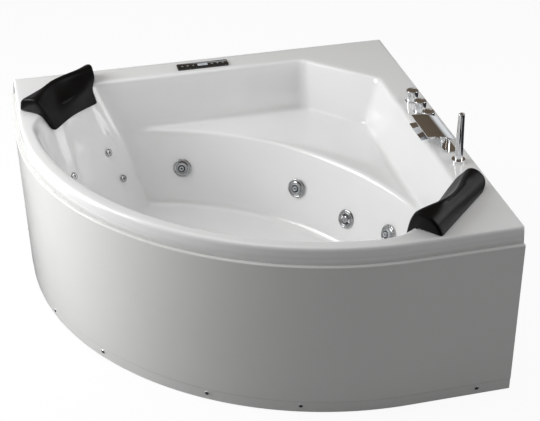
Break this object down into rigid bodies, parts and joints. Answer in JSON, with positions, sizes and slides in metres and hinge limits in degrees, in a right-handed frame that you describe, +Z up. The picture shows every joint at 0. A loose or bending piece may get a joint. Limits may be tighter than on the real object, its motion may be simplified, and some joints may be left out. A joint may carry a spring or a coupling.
{
  "type": "jetted corner bath",
  "caption": "Jetted corner bath with a curved front apron, corner bench, jets, deck taps, waterfall spout, hand shower, keypad and two lift-off pillows on a levelling frame",
  "frame": {"origin": "on the floor, in the middle of the square footprint", "axes": "+Z up, the room's walls at +X and +Y, the curved front towards -X and -Y"},
  "size_m": [1.52, 1.52, 0.827],
  "materials": {
    "acrylic": "polished white acrylic",
    "apron": "satin light grey moulded panel",
    "zinc_steel": "zinc coated steel",
    "board": "sealed board",
    "chrome": "polished chrome",
    "nozzle_white": "moulded nozzle",
    "grey_plastic": "grey pressure pipe",
    "black_plastic": "moulded black plastic",
    "motor_paint": "dark enamel on aluminium",
    "brass": "cast and turned brass",
    "steel_hose": "wound steel hose",
    "black_gloss": "smooth glossy black skin",
    "panel_glass": "black keypad window"
  },
  "bodies": {
    "bath": {"air_blower": "black_plastic", "air_hoses": "grey_plastic", "air_manifold": "grey_plastic", "apron_brackets": "zinc_steel", "apron_panel": "apron", "apron_screws": "chrome", "back_jet_pipes": "grey_plastic", "base_board": "board", "base_rails": "zinc_steel", "control_box": "grey_plastic", "control_panel": "black_gloss", "deck_flanges": "chrome", "drain_body": "grey_plastic", "drain_cable": "black_plastic", "drain_trap": "grey_plastic", "equipment_shelf": "board", "floor_jets": "acrylic", "foot_nuts": "zinc_steel", "jet_bodies": "grey_plastic", "mixer_pipe": "brass", "overflow_body": "grey_plastic", "overflow_hose": "grey_plastic", "panel_glass": "panel_glass", "pump_motor": "motor_paint", "pump_pipes": "grey_plastic", "pump_wet_end": "black_plastic", "shower_hose": "steel_hose", "small_jet_faces": "acrylic", "spout_plate": "chrome", "spout_post": "chrome", "spout_tray": "chrome", "suction_cover": "chrome", "tap_valves": "brass", "tub_shell": "acrylic", "uprights": "zinc_steel", "waste_trims": "chrome", "water_manifold": "grey_plastic", "wiring": "black_plastic"},
    "foot_1": {"levelling_foot_1": "zinc_steel"},
    "foot_2": {"levelling_foot_2": "zinc_steel"},
    "foot_3": {"levelling_foot_3": "zinc_steel"},
    "foot_4": {"levelling_foot_4": "zinc_steel"},
    "foot_5": {"levelling_foot_5": "zinc_steel"},
    "foot_6": {"levelling_foot_6": "zinc_steel"},
    "hot": {"hot_handle": "chrome"},
    "diverter": {"diverter_handle": "chrome"},
    "cold": {"cold_handle": "chrome"},
    "overflow_control": {"overflow_knob": "chrome"},
    "plug": {"drain_plug": "chrome"},
    "shower_stick": {"hand_shower": "chrome"},
    "jet_ring_1": {"jet_face_1": "chrome"},
    "jet_eye_1": {"jet_nozzle_1": "nozzle_white"},
    "jet_ring_2": {"jet_face_2": "chrome"},
    "jet_eye_2": {"jet_nozzle_2": "nozzle_white"},
    "jet_ring_3": {"jet_face_3": "chrome"},
    "jet_eye_3": {"jet_nozzle_3": "nozzle_white"},
    "impeller": {"pump_impeller": "black_plastic"},
    "fan": {"blower_fan": "black_plastic"},
    "left_rest": {"left_pillow": "black_gloss"},
    "right_rest": {"right_pillow": "black_gloss"}
  },
  "joints": [
    {"name": "foot_1_screw", "type": "slide", "parent": "bath", "child": "foot_1", "axis": [0, 0, -1], "range_m": [0, 0.025]},
    {"name": "foot_2_screw", "type": "slide", "parent": "bath", "child": "foot_2", "axis": [0, 0, -1], "range_m": [0, 0.025]},
    {"name": "foot_3_screw", "type": "slide", "parent": "bath", "child": "foot_3", "axis": [0, 0, -1], "range_m": [0, 0.025]},
    {"name": "foot_4_screw", "type": "slide", "parent": "bath", "child": "foot_4", "axis": [0, 0, -1], "range_m": [0, 0.025]},
    {"name": "foot_5_screw", "type": "slide", "parent": "bath", "child": "foot_5", "axis": [0, 0, -1], "range_m": [0, 0.025]},
    {"name": "foot_6_screw", "type": "slide", "parent": "bath", "child": "foot_6", "axis": [0, 0, -1], "range_m": [0, 0.025]},
    {"name": "hot_turn", "type": "hinge", "parent": "bath", "child": "hot", "pos_m": [0.702, 0.182, 0.66], "axis": [0, 0, 1], "range_deg": [0, 90]},
    {"name": "diverter_turn", "type": "hinge", "parent": "bath", "child": "diverter", "pos_m": [0.702, 0.093, 0.66], "axis": [0, 0, 1], "range_deg": [0, 90]},
    {"name": "cold_turn", "type": "hinge", "parent": "bath", "child": "cold", "pos_m": [0.702, 0.004, 0.66], "axis": [0, 0, 1], "range_deg": [0, 90]},
    {"name": "overflow_turn", "type": "hinge", "parent": "bath", "child": "overflow_control", "pos_m": [-0.3584, -0.3584, 0.56], "axis": [0.6893, 0.6893, 0.2233], "range_deg": [0, 90]},
    {"name": "plug_lift", "type": "slide", "parent": "bath", "child": "plug", "axis": [0, 0, 1], "range_m": [0, 0.01]},
    {"name": "hand_shower_lift", "type": "slide", "parent": "bath", "child": "shower_stick", "axis": [0, 0, 1], "range_m": [0, 0.25], "deforming": ["shower_hose"]},
    {"name": "jet_1_turn", "type": "hinge", "parent": "bath", "child": "jet_ring_1", "pos_m": [-0.13418, 0.48623, 0.31007], "axis": [-0.335, -0.8866, 0.319], "range_deg": [0, 90]},
    {"name": "jet_1_tilt", "type": "hinge", "parent": "jet_ring_1", "child": "jet_eye_1", "pos_m": [-0.13418, 0.48623, 0.31007], "axis": [-0.9354, 0.3535, 0], "range_deg": [-12, 12]},
    {"name": "jet_2_turn", "type": "hinge", "parent": "bath", "child": "jet_ring_2", "pos_m": [0.26484, 0.22012, 0.31007], "axis": [-0.6898, -0.65, 0.319], "range_deg": [0, 90]},
    {"name": "jet_2_tilt", "type": "hinge", "parent": "jet_ring_2", "child": "jet_eye_2", "pos_m": [0.26484, 0.22012, 0.31007], "axis": [-0.6858, 0.7278, 0], "range_deg": [-12, 12]},
    {"name": "jet_3_turn", "type": "hinge", "parent": "bath", "child": "jet_ring_3", "pos_m": [0.50287, -0.18157, 0.31007], "axis": [-0.9014, -0.2929, 0.319], "range_deg": [0, 90]},
    {"name": "jet_3_tilt", "type": "hinge", "parent": "jet_ring_3", "child": "jet_eye_3", "pos_m": [0.50287, -0.18157, 0.31007], "axis": [-0.309, 0.9511, 0], "range_deg": [-12, 12]},
    {"name": "impeller_spin", "type": "hinge", "parent": "bath", "child": "impeller", "pos_m": [0.5, 0.42, 0.254], "axis": [1, 0, 0], "continuous": true},
    {"name": "fan_spin", "type": "hinge", "parent": "bath", "child": "fan", "pos_m": [0.6, 0.61, 0.18], "axis": [0, 0, 1], "continuous": true},
    {"name": "left_pillow_lift", "type": "slide", "parent": "bath", "child": "left_rest", "axis": [0, 0, 1], "range_m": [0, 0.08]},
    {"name": "right_pillow_lift", "type": "slide", "parent": "bath", "child": "right_rest", "axis": [0, 0, 1], "range_m": [0, 0.08]}
  ],
  "couplings": [
    {"joint": "overflow_turn", "follows": "plug_lift", "rad_per_m": 157.08}
  ]
}
